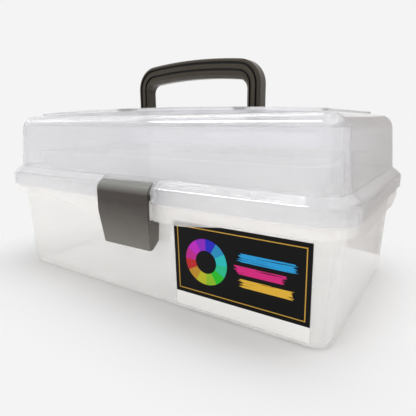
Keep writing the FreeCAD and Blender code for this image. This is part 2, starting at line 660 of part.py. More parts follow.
def make_dividers(body):
    """One lengthwise divider, and cross dividers between it and the rear wall."""
    low, high = "tray_floor + tray_wall / 2", "divider_top"
    half_length = "(tray_foot_length / 2 - tray_wall / 2)"
    half_depth = "(tray_foot_depth / 2 - tray_wall / 2)"
    slope = "tray_inset * (divider_top - tray_floor) / tray_height"
    lengthwise = polygon(body, "long_divider_outline", "XZ_Plane", "-long_divider", [
        ("-%s" % half_length, low),
        (half_length, low),
        ("%s + %s" % (half_length, slope), high),
        ("-%s - %s" % (half_length, slope), high),
    ])
    extrude(body, "Pad", "long_divider_wall", lengthwise, "divider", symmetric=True)
    for name, place in (("left", "-cross_pitch"), ("middle", "0"), ("right", "cross_pitch")):
        crosswise = polygon(body, "cross_outline_" + name, "YZ_Plane", place, [
            ("long_divider", low),
            (half_depth, low),
            ("%s + %s" % (half_depth, slope), high),
            ("long_divider", high),
        ])
        extrude(body, "Pad", "cross_divider_" + name, crosswise, "divider", symmetric=True)


# Handle
def add_bail(sketch, offset, bottom, sag="0"):
    """One line of the handle at an offset from its middle line: leg, bend, bowed grip, bend, leg."""
    leg, bend, bow = (present("%s + (%s)" % (item, offset)) for item in ("leg_line", "handle_bend", "handle_bow"))
    middle = "handle_top - handle_section / 2 - handle_bow - (%s)" % sag
    low = present(bottom)
    bow_centre = (0.0, present(middle))
    bend_height = bow_centre[1] + math.sqrt((bow - bend) ** 2 - (leg - bend) ** 2)
    lean = math.atan2(bend_height - bow_centre[1], leg - bend)
    first = sketch.GeometryCount
    sketch.addGeometry(Part.LineSegment(VECTOR(leg, low, 0), VECTOR(leg, bend_height, 0)))
    sketch.addGeometry(arc((leg - bend, bend_height), bend, 0, lean))
    sketch.addGeometry(arc(bow_centre, bow, lean, math.pi - lean))
    sketch.addGeometry(arc((bend - leg, bend_height), bend, math.pi - lean, math.pi))
    sketch.addGeometry(Part.LineSegment(VECTOR(-leg, bend_height, 0), VECTOR(-leg, low, 0)))
    for n in range(4):
        join(sketch, "Tangent", first + n, first + n + 1)
    for n in (0, 4):
        sketch.addConstraint(Sketcher.Constraint("Vertical", first + n))
    sketch.addConstraint(Sketcher.Constraint("Equal", first + 1, first + 3))
    sketch.addConstraint(Sketcher.Constraint("PointOnObject", first + 2, 3, -2))
    constrain(sketch, "leg_line + (%s)" % offset, "DistanceX", -1, 1, first, 1)
    constrain(sketch, "-leg_line - (%s)" % offset, "DistanceX", -1, 1, first + 4, 2)
    constrain(sketch, bottom, "DistanceY", -1, 1, first, 1)
    constrain(sketch, bottom, "DistanceY", -1, 1, first + 4, 2)
    constrain(sketch, "handle_bend + (%s)" % offset, "Radius", first + 1)
    constrain(sketch, "handle_bow + (%s)" % offset, "Radius", first + 2)
    constrain(sketch, middle, "DistanceY", -1, 1, first + 2, 3)
    return first


def bail_band(body, name, offset, outer, inner, bottom, sag="0"):
    """A closed band between two lines of the handle, whose inner line may sag below the grip."""
    sketch = new_sketch(body, name, "XZ_Plane", offset)
    outside = add_bail(sketch, outer, bottom)
    inside = add_bail(sketch, inner, bottom, sag)
    for a, b, spot in ((outside, inside, 1), (outside + 4, inside + 4, 2)):
        ends = [sketch.getPoint(line, spot) for line in (a, b)]
        bridge = sketch.addGeometry(Part.LineSegment(*ends))
        sketch.addConstraint(Sketcher.Constraint("Coincident", bridge, 1, a, spot))
        sketch.addConstraint(Sketcher.Constraint("Coincident", bridge, 2, b, spot))
    return sketch


def leg_edge(reach):
    """A test for the upright edges of the legs at one distance from the middle, which lead on into the grip."""
    target, low = present(reach), present("pivot_height")

    def chosen(edge):
        box = edge.BoundBox
        upright = box.XLength + box.YLength < LEVEL_MATCH and box.ZMax > low + LEVEL_MATCH
        return upright and abs(abs(box.XMin) - target) < LEVEL_MATCH

    return chosen


def make_handle():
    body = new_body("carry_handle")
    outline = bail_band(body, "bail_outline", "handle_line", "handle_section / 2", "-handle_section / 2",
                        "pivot_height", "grip_swell")
    extrude(body, "Pad", "bail", outline, "handle_depth", symmetric=True)
    eye = circle(body, "eye_outline", "YZ_Plane", "leg_line - handle_section / 2", "-handle_line", "pivot_height",
                 "handle_depth / 2")
    eyes = [extrude(body, "Pad", "eye", eye, "handle_section")]
    mirrored(body, "other_eye", eyes)
    round_edges(body, "outer_edges", "handle_edge", leg_edge("handle_width / 2"), "Chamfer")
    round_edges(body, "inner_edges", "grip_bevel", leg_edge("handle_width / 2 - handle_section"), "Chamfer")
    for name, face in (("front", "handle_line + handle_depth / 2 - groove_cut"),
                       ("rear", "handle_line - handle_depth / 2 - groove_cut")):
        for line, middle in (("outer", "groove_pitch / 2"), ("inner", "-groove_pitch / 2")):
            groove = bail_band(body, "%s_%s_groove_outline" % (name, line), face,
                               "%s + groove_width / 2" % middle, "%s - groove_width / 2" % middle,
                               "pivot_height + handle_depth / 2")
            extrude(body, "Pocket", "%s_%s_groove" % (name, line), groove, "2 * groove_cut")
    holes = [bore(body, "pin_hole", "handle_width / 2 - handle_pin_grip", "handle_pin_grip", "-handle_line",
                  "pivot_height", "handle_pin_radius")]
    mirrored(body, "other_pin_hole", holes)


# Latch
def make_latch():
    body = new_body("latch")
    top = circle(body, "roll_outline", "YZ_Plane", "0", "-latch_line", "latch_pin_height", "latch_radius")
    extrude(body, "Pad", "roll", top, "latch_width", symmetric=True)
    inside = circle(body, "roll_hollow_outline", "YZ_Plane", "0", "-latch_line", "latch_pin_height",
                    "latch_radius - latch_wall")
    extrude(body, "Pocket", "roll_hollow", inside, "latch_width", symmetric=True)
    block(body, "Subtractive", "roll_opening",
          ("-latch_width / 2", "-latch_line + latch_tip", "latch_pin_height - latch_radius"),
          ("latch_width / 2", "-latch_line + latch_radius", "latch_pin_height + latch_radius"))
    block(body, "Subtractive", "roll_underside",
          ("-latch_width / 2", "-latch_front + latch_wall", "latch_pin_height - latch_radius"),
          ("latch_width / 2", "-latch_line + latch_radius", "latch_pin_height"))
    bend = "latch_pin_height - latch_upright"
    lean = "-latch_front + latch_lean"
    plate = polygon(body, "plate_outline", "YZ_Plane", "0", [
        ("-latch_front", "latch_pin_height"),
        ("-latch_front", bend),
        (lean, "latch_bottom"),
        (lean + " + latch_wall", "latch_bottom"),
        ("-latch_front + latch_wall", bend),
        ("-latch_front + latch_wall", "latch_pin_height"),
    ])
    extrude(body, "Pad", "plate", plate, "latch_width", symmetric=True)
    round_edges(body, "plate_bend", "latch_bend", along_x("-latch_front", bend))
    make_cheeks(body)
    make_latch_ribs(body)


def make_cheeks(body):
    """The side cheeks and the finger web of the lower half, all drawn in towards the bottom."""
    front = "-latch_front + latch_lean"
    cheek = polygon(body, "cheek_outline", "YZ_Plane", "latch_width / 2 - latch_taper - cheek_wall", [
        (front + " + latch_wall / 2", "latch_bottom"),
        ("-cheek_rear - cheek_cut", "latch_bottom"),
        ("-cheek_rear", "latch_bottom + cheek_cut"),
        ("-cheek_rear", "latch_pin_height - cheek_top - cheek_wall"),
        ("-cheek_rear - cheek_wall", "latch_pin_height - cheek_top"),
        ("-latch_front + latch_wall", "latch_pin_height - cheek_top"),
    ])
    pair = [extrude(body, "Pad", "cheek", cheek, "latch_taper + cheek_wall")]
    mirrored(body, "other_cheek", pair)
    block(body, "Additive", "finger_web",
          ("-latch_width / 2 + latch_taper + cheek_wall / 2", front + " + latch_wall / 2", "latch_bottom"),
          ("latch_width / 2 - latch_taper - cheek_wall / 2", "-cheek_rear - cheek_cut", "latch_bottom + cheek_wall"))
    trim = polygon(body, "taper_outline", "XZ_Plane", "0", [
        ("latch_width / 2", "latch_pin_height - latch_upright"),
        ("latch_width / 2 - latch_taper", "latch_bottom"),
        ("latch_width / 2 - latch_taper", "latch_bottom - cheek_wall"),
        ("latch_width / 2 + cheek_wall", "latch_bottom - cheek_wall"),
        ("latch_width / 2 + cheek_wall", "latch_pin_height - latch_upright"),
    ])
    cut = [extrude(body, "Pocket", "taper", trim, "2 * flange_depth", symmetric=True)]
    mirrored(body, "other_taper", cut)


def make_latch_ribs(body):
    """Ribs inside the round top that turn on the latch pin."""
    for name, start in (("left", "-latch_width / 2"), ("middle", "-latch_rib / 2"),
                        ("right", "latch_width / 2 - latch_rib")):
        hub = circle(body, "hub_outline_" + name, "YZ_Plane", start, "-latch_line", "latch_pin_height",
                     "latch_pin_radius + latch_wall")
        extrude(body, "Pad", "hub_" + name, hub, "latch_rib")
        web = polygon(body, "web_outline_" + name, "YZ_Plane", start, [
            ("-latch_front + latch_wall / 2", "latch_pin_height - latch_pin_radius - latch_wall"),
            ("-latch_line", "latch_pin_height - latch_pin_radius - latch_wall"),
            ("-latch_line", "latch_pin_height + latch_radius - latch_wall / 2"),
            ("-latch_front + latch_wall / 2", "latch_pin_height"),
        ])
        extrude(body, "Pad", "web_" + name, web, "latch_rib")
    bore(body, "latch_pin_hole", "-latch_width / 2", "latch_width", "-latch_line", "latch_pin_height",
         "latch_pin_radius")


# Pins
def make_pin(label, start, length, across, up, radius):
    """A plain steel pin along X with bevelled ends."""
    body = new_body(label)
    outline = circle(body, label + "_outline", "YZ_Plane", start, across, up, radius)
    extrude(body, "Pad", label + "_rod", outline, length)
    round_edges(body, label + "_ends", "pin_bevel", lambda edge: edge.BoundBox.XLength < LEVEL_MATCH, "Chamfer")


def make_pins():
    hinge = ("hinge_length", "hinge_line", "hinge_height", "hinge_pin_radius")
    make_pin("hinge_pin_right", "hinge_start", *hinge)
    make_pin("hinge_pin_left", "-hinge_start - hinge_length", *hinge)
    make_pin("latch_pin", "-bay_half - wall", "2 * bay_half + 2 * wall", "-latch_line", "latch_pin_height",
             "latch_pin_radius")
    handle = ("handle_pin_grip + side_gap + wall + boss_length", "-handle_line", "pivot_height", "handle_pin_radius")
    make_pin("handle_pin_right", "handle_width / 2 - handle_pin_grip", *handle)
    make_pin("handle_pin_left", "-recess_half - wall - boss_length", *handle)


# Label
def make_label():
    """A sheet stuck to the tub's front wall, which leans by the tub's draft."""
    label = doc.addObject("Part::Box", "front_label")
    label.Label = "front_label"
    lean = "atan(tub_inset / parting_height)"
    bind(label, Length="label_length", Width="label_sheet", Height="label_height")
    label.Placement = FreeCAD.Placement(VECTOR(0, 0, 0), FreeCAD.Rotation(VECTOR(1, 0, 0), 1))
    label.setExpression("Placement.Rotation.Angle", size(lean))
    label.setExpression("Placement.Base.x", size("label_left"))
    label.setExpression("Placement.Base.y", size(
        "-tub_depth / 2 + tub_inset * (1 - label_bottom / parting_height) - (label_sheet + label_gum) / cos(%s)" % lean))
    label.setExpression("Placement.Base.z", size("label_bottom"))
    return label


probe = doc.addObject("App::FeaturePython", "Probe")
probe.addProperty("App::PropertyFloat", "Value")
make_tub()
make_lid()
make_tray()
make_handle()
make_latch()
make_pins()
make_label()
doc.removeObject("Probe")
doc.recompute()

failed = [item.Label for item in doc.Objects if {"Invalid", "Error"} & set(item.State)]
if failed:
    raise RuntimeError("failed objects: " + ", ".join(failed))
pieces = [item for item in doc.Objects if item.TypeId in ("PartDesign::Body", "Part::Box")]
for piece in pieces:
    if piece.Shape.isNull() or not piece.Shape.isValid() or len(piece.Shape.Solids) != 1:
        raise RuntimeError("bad shape: " + piece.Label)
os.makedirs("parts", exist_ok=True)
for piece in pieces:
    piece.Shape.exportStep("parts/%s.step" % piece.Label)
    print(piece.Label, round(piece.Shape.Volume), "cubic mm")
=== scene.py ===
# %% [markdown]
# A clear carry box for art materials. The solids come ready made from the CAD model: tub, lid, tray,
# handle, latch, pins and label. This lesson dresses them in the plastics, steel and print of the real
# box, lights them like a small product studio and puts the camera where the photographer stood.

# %% Load the solids
import math
import bpy
from mathutils import Matrix, Vector


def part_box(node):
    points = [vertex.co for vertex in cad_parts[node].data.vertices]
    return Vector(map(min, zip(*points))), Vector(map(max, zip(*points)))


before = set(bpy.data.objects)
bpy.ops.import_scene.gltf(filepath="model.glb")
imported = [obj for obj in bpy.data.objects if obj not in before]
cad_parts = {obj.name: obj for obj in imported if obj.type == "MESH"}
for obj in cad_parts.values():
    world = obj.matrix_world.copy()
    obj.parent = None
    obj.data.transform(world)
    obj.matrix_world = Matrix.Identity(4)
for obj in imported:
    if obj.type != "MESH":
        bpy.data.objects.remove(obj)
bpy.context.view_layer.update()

print("nodes:", ", ".join(sorted(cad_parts)))

# %% [markdown]
# Colours are easiest to choose as the hex values of a paint program, which are sRGB. Shaders work in
# linear light, so one function turns a hex value into the linear colour that a socket wants. Another
# adds a node and fills its inputs, so that a material reads as a short list of nodes. Blender counts
# in metres, and the box is measured in millimetres.

# %% Colour and node helpers
MM = 0.001


def linear(hex_colour):
    parts = [int(hex_colour[n:n + 2], 16) / 255 for n in (1, 3, 5)]
    return tuple(c / 12.92 if c <= 0.04045 else ((c + 0.055) / 1.055) ** 2.4 for c in parts) + (1.0,)


def add(tree, kind, inputs=None, **settings):
    """Add one node. Settings are its properties; inputs are values, or sockets of other nodes to link."""
    node = tree.nodes.new(kind)
    for name, value in settings.items():
        setattr(node, name, value)
    for name, value in (inputs or {}).items():
        if isinstance(value, bpy.types.NodeSocket):
            tree.links.new(value, node.inputs[name])
        else:
            node.inputs[name].default_value = value
    return node


def new_material(name):
    material = bpy.data.materials.new(name)
    material.use_nodes = True
    tree = material.node_tree
    tree.nodes.clear()
    return material, tree, add(tree, "ShaderNodeOutputMaterial")


print("white is", [round(c, 3) for c in linear("#F4F4F4")])

# %% [markdown]
# Natural polypropylene has no pigment. It is neither clear nor white: a two millimetre wall lets most
# of the light through and scatters it on the way, so shapes behind a wall turn soft and pale. A volume
# would be true to that but slow and grainy. Here the wall is a hazy glass (transmission with some
# roughness) with a little milk in it: the part that isn't transmission is a white scattering body. A
# share of every ray goes straight through, so that the tray behind the wall can still be made out. For
# shadow rays that share is larger, because glass throws a full shadow in a path tracer, and the real
# box a faint one. The mould is polished, so a smooth coat over the haze mirrors the studio crisply.

# %% Natural polypropylene
POLYPROPYLENE_IOR = 1.49
HAZE_DRIFT = 0.03
SKIN_ROUGHNESS = 0.03


def natural_polypropylene(name, pale, deep, clear, roughness, straight, lamp_share, wave_mm):
    """Moulded natural polypropylene, whose haze drifts where the melt cooled at a different pace.

    clear is the share of glass in the body, straight the share of any ray that passes untouched, and
    lamp_share the same for shadow rays. The haze drifts over about wave_mm.
    """
    material, tree, output = new_material(name)
    place = add(tree, "ShaderNodeTexCoord").outputs["Object"]
    flow = add(tree, "ShaderNodeTexNoise", {"Vector": place, "Scale": 1 / (wave_mm * MM)})
    haze = add(tree, "ShaderNodeMix", {
        "Factor": flow.outputs["Fac"], "A": linear(deep), "B": linear(pale)}, data_type="RGBA")
    gloss = add(tree, "ShaderNodeMapRange", {
        "Value": flow.outputs["Fac"], "To Min": roughness - HAZE_DRIFT, "To Max": roughness + HAZE_DRIFT})
    body = add(tree, "ShaderNodeBsdfPrincipled", {
        "Base Color": haze.outputs["Result"], "Roughness": gloss.outputs["Result"],
        "IOR": POLYPROPYLENE_IOR, "Transmission Weight": clear,
        "Coat Weight": 1.0, "Coat Roughness": SKIN_ROUGHNESS, "Coat IOR": POLYPROPYLENE_IOR})
    passing = add(tree, "ShaderNodeBsdfTransparent", {"Color": linear("#FFFFFF")})
    shadow_ray = add(tree, "ShaderNodeLightPath").outputs["Is Shadow Ray"]
    share = add(tree, "ShaderNodeMapRange", {
        "Value": shadow_ray, "To Min": straight, "To Max": lamp_share})
    wall = add(tree, "ShaderNodeMixShader", {
        0: share.outputs[0], 1: body.outputs[0], 2: passing.outputs[0]})
    tree.links.new(wall.outputs[0], output.inputs["Surface"])
    return material


tub_plastic = natural_polypropylene(
    "natural_polypropylene_tub", pale="#FFFDFB", deep="#FDFBF8",
    clear=0.62, roughness=0.18, straight=0.48, lamp_share=0.9, wave_mm=60)
lid_plastic = natural_polypropylene(
    "natural_polypropylene_lid", pale="#F1F1F4", deep="#ECECEF",
    clear=0.84, roughness=0.07, straight=0.2, lamp_share=0.76, wave_mm=60)
tray_plastic = natural_polypropylene(
    "natural_polypropylene_tray", pale="#FFFFFE", deep="#FDFCFA",
    clear=0.5, roughness=0.22, straight=0.35, lamp_share=0.85, wave_mm=50)
print("clear plastics:", tub_plastic.name, lid_plastic.name, tray_plastic.name)

# %% [markdown]
# The handle and the latch are the same plastic with grey pigment. The mould is spark eroded, which
# leaves a fine satin grain, so the highlights are broad and soft. The grain is 0.1 mm on the real box,
# too fine to show, so it is drawn as 0.8 mm. A grained skin mirrors less than a polished one, so the
# specular level is half the usual one. One function gives both pieces this skin, and each of them brings
# its own colour.

# %% Grey polypropylene
GRAIN_MM, GRAIN_DEPTH_MM = 0.8, 0.1
BUMP_STRENGTH = 0.04
GRAINED_SPECULAR = 0.25
GLOSS_DRIFT = 0.05
HANDLE_ROUGHNESS, LATCH_ROUGHNESS = 0.3, 0.16


def satin_skin(tree, output, colour, roughness):
    """Give pigmented plastic its moulded skin and its gloss."""
    place = add(tree, "ShaderNodeTexCoord").outputs["Object"]
    grain = add(tree, "ShaderNodeTexNoise", {"Vector": place, "Scale": 1 / (GRAIN_MM * MM)})
    gloss = add(tree, "ShaderNodeMapRange", {
        "Value": grain.outputs["Fac"], "To Min": roughness - GLOSS_DRIFT, "To Max": roughness + GLOSS_DRIFT})
    bump = add(tree, "ShaderNodeBump", {
        "Height": grain.outputs["Fac"], "Strength": BUMP_STRENGTH, "Distance": GRAIN_DEPTH_MM * MM})
    body = add(tree, "ShaderNodeBsdfPrincipled", {
        "Base Color": colour, "Roughness": gloss.outputs["Result"], "IOR": POLYPROPYLENE_IOR,
        "Specular IOR Level": GRAINED_SPECULAR, "Normal": bump.outputs["Normal"]})
    tree.links.new(body.outputs["BSDF"], output.inputs["Surface"])


print("satin grain drawn as", GRAIN_MM, "mm")

# %% [markdown]
# Little light gets into the grooves of the handle, so their shade is painted: an ambient occlusion
# node finds the hollows of the piece itself and paints them near black. The underside of the grip is
# painted paler, for the light that the pale lid throws up at it. The normal in the handle's own space
# tells which skin faces down, so the painted light keeps to that skin however the handle lies.

# %% Handle plastic
HANDLE_CLOUD_MM = 14
# reach and ramp of the painted groove shade, and the slopes where the painted underside light starts and is
# full
GROOVE_REACH_MM, GROOVE_SHUT, GROOVE_OPEN = 3, 0.68, 0.96
UNDER_STARTS, UNDER_FULL = -0.3, -0.9
handle_plastic, tree, output = new_material("grey_polypropylene_handle")
coords = add(tree, "ShaderNodeTexCoord").outputs
cloud = add(tree, "ShaderNodeTexNoise", {
    "Vector": coords["Object"], "Scale": 1 / (HANDLE_CLOUD_MM * MM)})
pigment = add(tree, "ShaderNodeMix", {
    "Factor": cloud.outputs["Fac"], "A": linear("#3A342C"), "B": linear("#443D33")}, data_type="RGBA")
# painted light: skin that faces down is painted paler, for the light the pale lid throws up at it
facing = add(tree, "ShaderNodeSeparateXYZ", {"Vector": coords["Normal"]})
under = add(tree, "ShaderNodeMapRange", {
    "Value": facing.outputs["Z"], "From Min": UNDER_STARTS, "From Max": UNDER_FULL})
underside_lit = add(tree, "ShaderNodeMix", {
    "Factor": under.outputs["Result"], "A": pigment.outputs["Result"], "B": linear("#605B54")},
    data_type="RGBA")
# painted shade: the hollows found by ambient occlusion are painted near black
open_sky = add(tree, "ShaderNodeAmbientOcclusion", {"Distance": GROOVE_REACH_MM * MM}, only_local=True)
unshaded = add(tree, "ShaderNodeMapRange", {
    "Value": open_sky.outputs["AO"], "From Min": GROOVE_SHUT, "From Max": GROOVE_OPEN})
pigment_and_painted_light = add(tree, "ShaderNodeMix", {
    "Factor": unshaded.outputs["Result"], "A": linear("#0B0A08"), "B": underside_lit.outputs["Result"]},
    data_type="RGBA")
satin_skin(tree, output, pigment_and_painted_light.outputs["Result"], HANDLE_ROUGHNESS)
print("handle:", handle_plastic.name, "roughness", HANDLE_ROUGHNESS)

# %% [markdown]
# The lower half of the latch leans in and would mirror the bright floor, so it is painted a paler
# grey: a painted reflection. The upper half, which would mirror the dim room, is painted darker, and
# the bend at the top gets a painted highlight. Ramps along the height blend the three, and a soft
# cloud keeps the lower blend from being a straight line.

# %% Latch plastic
LATCH_CLOUD_MM, LATCH_UNEVEN_MM = 9, 5
# where the painted reflection ramp and the painted highlight at the top begin and end
BLEND_ABOVE_FOOT_MM, BLEND_BELOW_TOP_MM = 4, 12
BEND_STARTS_MM, BEND_FULL_MM = 8, 2
latch_low, latch_high = (Vector(corner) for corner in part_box("latch"))
latch_plastic, tree, output = new_material("grey_polypropylene_latch")
place = add(tree, "ShaderNodeTexCoord").outputs["Object"]
level = add(tree, "ShaderNodeSeparateXYZ", {"Vector": place}).outputs["Z"]
cloud = add(tree, "ShaderNodeTexNoise", {"Vector": place, "Scale": 1 / (LATCH_CLOUD_MM * MM)})
uneven = add(tree, "ShaderNodeMath", {
    0: cloud.outputs["Fac"], 1: LATCH_UNEVEN_MM * MM, 2: level}, operation="MULTIPLY_ADD")
# painted reflection: paler low down where the floor would be mirrored, darker higher up
upper_darkening = add(tree, "ShaderNodeMapRange", {
    "Value": uneven.outputs[0], "From Min": latch_low.z + BLEND_ABOVE_FOOT_MM * MM,
    "From Max": latch_high.z - BLEND_BELOW_TOP_MM * MM})
reflection_tone = add(tree, "ShaderNodeMix", {
    "Factor": upper_darkening.outputs["Result"], "A": linear("#78756F"), "B": linear("#443E3A")},
    data_type="RGBA")
# painted highlight: the bend at the top is painted a light grey
highlight_band = add(tree, "ShaderNodeMapRange", {
    "Value": level, "From Min": latch_high.z - BEND_STARTS_MM * MM,
    "From Max": latch_high.z - BEND_FULL_MM * MM})
pigment_and_painted_light = add(tree, "ShaderNodeMix", {
    "Factor": highlight_band.outputs["Result"], "A": reflection_tone.outputs["Result"], "B": linear("#8E8E88")},
    data_type="RGBA")
satin_skin(tree, output, pigment_and_painted_light.outputs["Result"], LATCH_ROUGHNESS)
print("latch:", latch_plastic.name, "roughness", LATCH_ROUGHNESS)

# %% [markdown]
# The pins are cut from drawn steel wire. The drawing die leaves fine lines along the wire, so the noise
# that varies the gloss is stretched along X, the way the pins lie.

# %% Drawn steel wire
LINE_LENGTH_MM, LINE_GAP_MM = 25, 0.4
STEEL_SMOOTH, STEEL_ROUGH = 0.22, 0.42
steel, tree, output = new_material("drawn_steel_wire")
place = add(tree, "ShaderNodeTexCoord").outputs["Object"]
stretch = (1 / (LINE_LENGTH_MM * MM), 1 / (LINE_GAP_MM * MM), 1 / (LINE_GAP_MM * MM))
along = add(tree, "ShaderNodeMapping", {"Vector": place, "Scale": stretch})
lines = add(tree, "ShaderNodeTexNoise", {"Vector": along.outputs["Vector"], "Scale": 1.0})
gloss = add(tree, "ShaderNodeMapRange", {
    "Value": lines.outputs["Fac"], "To Min": STEEL_SMOOTH, "To Max": STEEL_ROUGH})
wire = add(tree, "ShaderNodeBsdfPrincipled", {
    "Base Color": linear("#C4C3C0"), "Metallic": 1.0, "Roughness": gloss.outputs["Result"]})
tree.links.new(wire.outputs["BSDF"], output.inputs["Surface"])
print("pins:", steel.name)

# %% [markdown]
# The label is a printed film, stuck on the tub. The print is drawn by nodes from the label's own place in
# millimetres: a black field with a gold keyline, a colour wheel of twelve hues, three strokes of paint
# with ragged ends, and a white strip along the bottom edge. Every shape is a distance test, so its edge
# stays crisp.

# %% Places on the label
label_low, label_high = (Vector(corner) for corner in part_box("front_label"))
film, tree, output = new_material("printed_film_label")
place = add(tree, "ShaderNodeTexCoord").outputs["Object"]
split = add(tree, "ShaderNodeSeparateXYZ", {"Vector": place})
across = add(tree, "ShaderNodeMath", {
    0: split.outputs["X"], 1: label_low.x}, operation="SUBTRACT").outputs[0]
up = add(tree, "ShaderNodeMath", {
    0: split.outputs["Z"], 1: label_low.z}, operation="SUBTRACT").outputs[0]
width, height = (label_high.x - label_low.x) / MM, (label_high.z - label_low.z) / MM


def inside(value, low_mm, high_mm):
    """1 where a coordinate lies between two places on the label."""
    middle, half = (low_mm + high_mm) / 2 * MM, (high_mm - low_mm) / 2 * MM
    return add(tree, "ShaderNodeMath", {0: value, 1: middle, 2: half}, operation="COMPARE").outputs[0]


def both(mask, other):
    """1 where both masks are 1."""
    return add(tree, "ShaderNodeMath", {0: mask, 1: other}, operation="MULTIPLY").outputs[0]


def ink(under, mask, over):
    """Print one colour over another where the mask is 1."""
    return add(tree, "ShaderNodeMix", {
        "Factor": mask, "A": under, "B": over}, data_type="RGBA").outputs["Result"]


print("label", round(width, 1), "by", round(height, 1), "mm")

# %% [markdown]
# The colour wheel needs two numbers: the distance from its centre, which makes the ring, and the angle
# round it, which picks the hue. Rounding the angle down to twelfths turns the smooth wheel into separate
# swatches.

# %% Black field and colour wheel
STRIP = 10.7
KEYLINE_OUT, KEYLINE_IN = 3, 3.7
BLACK, GOLD, WHITE = linear("#0A0A0B"), linear("#C49A3F"), linear("#F6F5F2")
frame_line, field = (both(inside(across, edge, width - edge), inside(up, STRIP + edge, height - edge))
                     for edge in (KEYLINE_OUT, KEYLINE_IN))
printed = ink(BLACK, frame_line, GOLD)
printed = ink(printed, field, BLACK)

WHEEL_X, WHEEL_Z, WHEEL_OUT, WHEEL_IN = 27, 38, 17, 8.5
SWATCHES, SATURATION, BRIGHTNESS = 12.0, 0.95, 0.5
spot = add(tree, "ShaderNodeCombineXYZ", {"X": across, "Y": up})
arm = add(tree, "ShaderNodeVectorMath", {
    0: spot.outputs[0], 1: (WHEEL_X * MM, WHEEL_Z * MM, 0)}, operation="SUBTRACT")
reach = add(tree, "ShaderNodeVectorMath", {0: arm.outputs[0]}, operation="LENGTH").outputs["Value"]
sides = add(tree, "ShaderNodeSeparateXYZ", {"Vector": arm.outputs[0]})
angle = add(tree, "ShaderNodeMath", {0: sides.outputs["Y"], 1: sides.outputs["X"]}, operation="ARCTAN2")
turn = add(tree, "ShaderNodeMapRange", {
    "Value": angle.outputs[0], "From Min": -math.pi, "From Max": math.pi, "To Max": SWATCHES})
swatch = add(tree, "ShaderNodeMath", {0: turn.outputs["Result"]}, operation="FLOOR")
hue = add(tree, "ShaderNodeMath", {0: swatch.outputs[0], 1: SWATCHES}, operation="DIVIDE")
wheel = add(tree, "ShaderNodeCombineColor", {
    0: hue.outputs[0], 1: SATURATION, 2: BRIGHTNESS}, mode="HSV")
printed = ink(printed, inside(reach, WHEEL_IN, WHEEL_OUT), wheel.outputs[0])
print("colour wheel", 2 * WHEEL_OUT, "mm across")

# %% [markdown]
# A stroke of paint ends ragged, because the bristles run dry one by one. Noise that is stretched along
# the stroke shifts its ends to and fro, and breaks the paint into fine streaks. The streaks are 0.7 mm
# apart.

# %% Paint strokes and white strip
STREAK_GAP_MM, STREAKS_PER_METRE = 0.7, 30
RAGGED_MM, STROKE_HALF_MM = 7, 3
DRY_BELOW = 0.36
PAST_EDGE_MM = -1
# height of the middle, paint, left end and right end of each stroke
STROKES = ((47, "#2A9BD6", 54, 92), (38, "#D42A7C", 51, 85), (29, "#E0B13C", 55, 90))
bristle = add(tree, "ShaderNodeMapping", {
    "Vector": place, "Scale": (STREAKS_PER_METRE, 1, 1 / (STREAK_GAP_MM * MM))})
dry = add(tree, "ShaderNodeTexNoise", {"Vector": bristle.outputs["Vector"], "Scale": 1.0})
shift = add(tree, "ShaderNodeMapRange", {
    "Value": dry.outputs["Fac"], "To Min": -RAGGED_MM * MM, "To Max": RAGGED_MM * MM})
ragged = add(tree, "ShaderNodeMath", {
    0: across, 1: shift.outputs["Result"]}, operation="ADD").outputs[0]
wet = add(tree, "ShaderNodeMath", {
    0: dry.outputs["Fac"], 1: DRY_BELOW}, operation="GREATER_THAN").outputs[0]
for middle, paint, left, right in STROKES:
    band = inside(up, middle - STROKE_HALF_MM, middle + STROKE_HALF_MM)
    stroke = both(inside(ragged, left, right), band)
    printed = ink(printed, both(stroke, wet), linear(paint))
printed = ink(printed, inside(up, PAST_EDGE_MM, STRIP), WHITE)
print(len(STROKES), "strokes over a white strip of", STRIP, "mm")

# %% [markdown]
# The film itself is smooth, with slight waves where it was rubbed down by hand. A satin varnish keeps
# the black field black from every side, so its specular level is low.

# %% Film
RIPPLE_MM, RIPPLE_DEPTH_MM = 12, 0.2
FILM_SMOOTH, FILM_ROUGH = 0.28, 0.4
FILM_IOR, VARNISH_SPECULAR = 1.5, 0.12
ripple = add(tree, "ShaderNodeTexNoise", {"Vector": place, "Scale": 1 / (RIPPLE_MM * MM)})
bump = add(tree, "ShaderNodeBump", {
    "Height": ripple.outputs["Fac"], "Strength": BUMP_STRENGTH, "Distance": RIPPLE_DEPTH_MM * MM})
gloss = add(tree, "ShaderNodeMapRange", {
    "Value": ripple.outputs["Fac"], "To Min": FILM_SMOOTH, "To Max": FILM_ROUGH})
sheet = add(tree, "ShaderNodeBsdfPrincipled", {
    "Base Color": printed, "Roughness": gloss.outputs["Result"], "IOR": FILM_IOR,
    "Specular IOR Level": VARNISH_SPECULAR, "Normal": bump.outputs["Normal"]})
tree.links.new(sheet.outputs["BSDF"], output.inputs["Surface"])
print("film:", film.name)

# %% [markdown]
# Each solid keeps its own mesh, and only its material slot is filled. What isn't listed is a pin.

# %% Dress the solids
finishes = {"base_tub": tub_plastic, "lid": lid_plastic, "lift_out_tray": tray_plastic,
            "carry_handle": handle_plastic, "latch": latch_plastic, "front_label": film}
for node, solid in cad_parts.items():
    solid.data.materials.clear()
    solid.data.materials.append(finishes.get(node, steel))
print("dressed", len(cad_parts), "solids")

# %% [markdown]
# The floor is a wide pale sheet. Near the box it is a real surface that takes the shadow, and further
# out it fades to the plain backdrop colour, so no horizon shows. The fade goes by the distance from the
# tub's foot, a rectangle with round corners, so that it follows the outline of the box. Close to the
# box an ambient occlusion node deepens the contact shadow. Under the foot itself the sheet stays pale,
# because there it is seen through the clear bottom of the tub.

